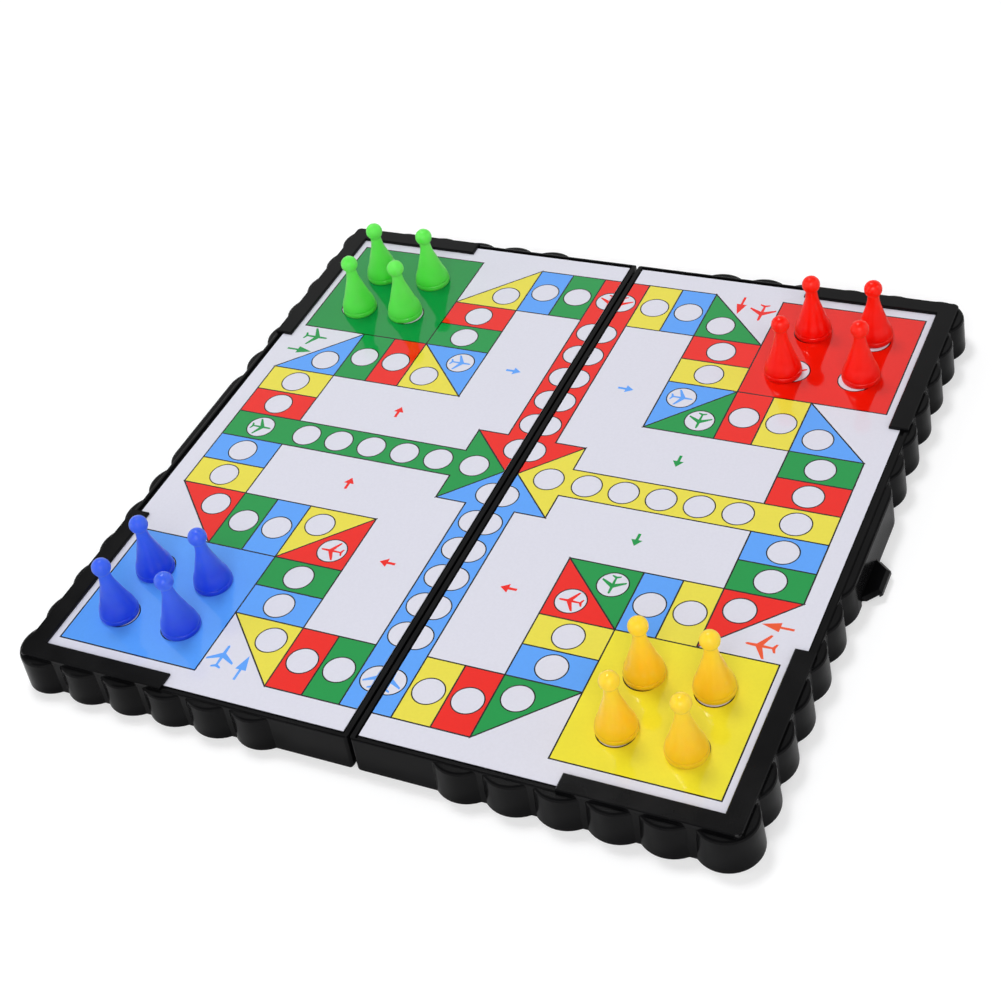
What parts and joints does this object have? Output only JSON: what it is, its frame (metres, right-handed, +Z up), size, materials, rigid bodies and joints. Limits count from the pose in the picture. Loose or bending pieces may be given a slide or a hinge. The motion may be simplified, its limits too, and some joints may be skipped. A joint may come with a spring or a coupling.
{
  "type": "folding ludo board box",
  "caption": "Square folding board box with scalloped walls: two trays on a link hinge, a side clasp, a printed ludo board on top and loose magnetic pawns.",
  "frame": {"origin": "middle of the hinge seam, on the plane of the two trays' open mouths, which the opened board rests on", "axes": "+Z up, +X across the seam towards the tray with the clasp, +Y along the seam"},
  "size_m": [0.2046, 0.1986, 0.0297],
  "materials": {
    "black_plastic": "black moulded polystyrene, satin",
    "hinge_plastic": "black moulded plastic, satin",
    "clasp_plastic": "black moulded plastic, polished",
    "steel": "thin tinned steel sheet",
    "printed_sheet": "glossy printed plastic film in white, green, red, yellow and blue",
    "magnet": "dark ferrite disc",
    "green_pawn_plastic": "glossy translucent green plastic",
    "red_pawn_plastic": "glossy translucent red plastic",
    "blue_pawn_plastic": "glossy translucent blue plastic",
    "yellow_pawn_plastic": "glossy translucent yellow plastic"
  },
  "bodies": {
    "right_tray_body": {"right_tray": "black_plastic", "right_steel_sheet": "steel", "right_printed_sheet": "printed_sheet"},
    "left_tray_body": {"left_tray": "black_plastic", "left_steel_sheet": "steel", "left_printed_sheet": "printed_sheet"},
    "hinge_links": {"hinge_link_front": "hinge_plastic", "hinge_link_middle": "hinge_plastic", "hinge_link_back": "hinge_plastic"},
    "clasp": {"latch_clasp": "clasp_plastic"},
    "green_pawn_1_body": {"green_pawn_1": "green_pawn_plastic", "green_pawn_magnet_1": "magnet"},
    "green_pawn_2_body": {"green_pawn_2": "green_pawn_plastic", "green_pawn_magnet_2": "magnet"},
    "green_pawn_3_body": {"green_pawn_3": "green_pawn_plastic", "green_pawn_magnet_3": "magnet"},
    "green_pawn_4_body": {"green_pawn_4": "green_pawn_plastic", "green_pawn_magnet_4": "magnet"},
    "red_pawn_1_body": {"red_pawn_1": "red_pawn_plastic", "red_pawn_magnet_1": "magnet"},
    "red_pawn_2_body": {"red_pawn_2": "red_pawn_plastic", "red_pawn_magnet_2": "magnet"},
    "red_pawn_3_body": {"red_pawn_3": "red_pawn_plastic", "red_pawn_magnet_3": "magnet"},
    "red_pawn_4_body": {"red_pawn_4": "red_pawn_plastic", "red_pawn_magnet_4": "magnet"},
    "blue_pawn_1_body": {"blue_pawn_1": "blue_pawn_plastic", "blue_pawn_magnet_1": "magnet"},
    "blue_pawn_2_body": {"blue_pawn_2": "blue_pawn_plastic", "blue_pawn_magnet_2": "magnet"},
    "blue_pawn_3_body": {"blue_pawn_3": "blue_pawn_plastic", "blue_pawn_magnet_3": "magnet"},
    "blue_pawn_4_body": {"blue_pawn_4": "blue_pawn_plastic", "blue_pawn_magnet_4": "magnet"},
    "yellow_pawn_1_body": {"yellow_pawn_1": "yellow_pawn_plastic", "yellow_pawn_magnet_1": "magnet"},
    "yellow_pawn_2_body": {"yellow_pawn_2": "yellow_pawn_plastic", "yellow_pawn_magnet_2": "magnet"},
    "yellow_pawn_3_body": {"yellow_pawn_3": "yellow_pawn_plastic", "yellow_pawn_magnet_3": "magnet"},
    "yellow_pawn_4_body": {"yellow_pawn_4": "yellow_pawn_plastic", "yellow_pawn_magnet_4": "magnet"}
  },
  "joints": [
    {"name": "link_fold", "type": "hinge", "parent": "right_tray_body", "child": "hinge_links", "pos_m": [0.00185, 0, 0.0018], "axis": [0, -1, 0], "range_deg": [0, 90]},
    {"name": "left_tray_fold", "type": "hinge", "parent": "hinge_links", "child": "left_tray_body", "pos_m": [-0.00185, 0, 0.0018], "axis": [0, -1, 0], "range_deg": [0, 90]},
    {"name": "clasp_swing", "type": "hinge", "parent": "right_tray_body", "child": "clasp", "pos_m": [0.0989, -0.0063, 0.0013], "axis": [0, 1, 0], "range_deg": [0, 102]},
    {"name": "green_pawn_1_lift", "type": "slide", "parent": "left_tray_body", "child": "green_pawn_1_body", "axis": [0, 0, 1], "range_m": [0, 0.03]},
    {"name": "green_pawn_2_lift", "type": "slide", "parent": "left_tray_body", "child": "green_pawn_2_body", "axis": [0, 0, 1], "range_m": [0, 0.03]},
    {"name": "green_pawn_3_lift", "type": "slide", "parent": "left_tray_body", "child": "green_pawn_3_body", "axis": [0, 0, 1], "range_m": [0, 0.03]},
    {"name": "green_pawn_4_lift", "type": "slide", "parent": "left_tray_body", "child": "green_pawn_4_body", "axis": [0, 0, 1], "range_m": [0, 0.03]},
    {"name": "red_pawn_1_lift", "type": "slide", "parent": "right_tray_body", "child": "red_pawn_1_body", "axis": [0, 0, 1], "range_m": [0, 0.03]},
    {"name": "red_pawn_2_lift", "type": "slide", "parent": "right_tray_body", "child": "red_pawn_2_body", "axis": [0, 0, 1], "range_m": [0, 0.03]},
    {"name": "red_pawn_3_lift", "type": "slide", "parent": "right_tray_body", "child": "red_pawn_3_body", "axis": [0, 0, 1], "range_m": [0, 0.03]},
    {"name": "red_pawn_4_lift", "type": "slide", "parent": "right_tray_body", "child": "red_pawn_4_body", "axis": [0, 0, 1], "range_m": [0, 0.03]},
    {"name": "blue_pawn_1_lift", "type": "slide", "parent": "left_tray_body", "child": "blue_pawn_1_body", "axis": [0, 0, 1], "range_m": [0, 0.03]},
    {"name": "blue_pawn_2_lift", "type": "slide", "parent": "left_tray_body", "child": "blue_pawn_2_body", "axis": [0, 0, 1], "range_m": [0, 0.03]},
    {"name": "blue_pawn_3_lift", "type": "slide", "parent": "left_tray_body", "child": "blue_pawn_3_body", "axis": [0, 0, 1], "range_m": [0, 0.03]},
    {"name": "blue_pawn_4_lift", "type": "slide", "parent": "left_tray_body", "child": "blue_pawn_4_body", "axis": [0, 0, 1], "range_m": [0, 0.03]},
    {"name": "yellow_pawn_1_lift", "type": "slide", "parent": "right_tray_body", "child": "yellow_pawn_1_body", "axis": [0, 0, 1], "range_m": [0, 0.03]},
    {"name": "yellow_pawn_2_lift", "type": "slide", "parent": "right_tray_body", "child": "yellow_pawn_2_body", "axis": [0, 0, 1], "range_m": [0, 0.03]},
    {"name": "yellow_pawn_3_lift", "type": "slide", "parent": "right_tray_body", "child": "yellow_pawn_3_body", "axis": [0, 0, 1], "range_m": [0, 0.03]},
    {"name": "yellow_pawn_4_lift", "type": "slide", "parent": "right_tray_body", "child": "yellow_pawn_4_body", "axis": [0, 0, 1], "range_m": [0, 0.03]}
  ]
}
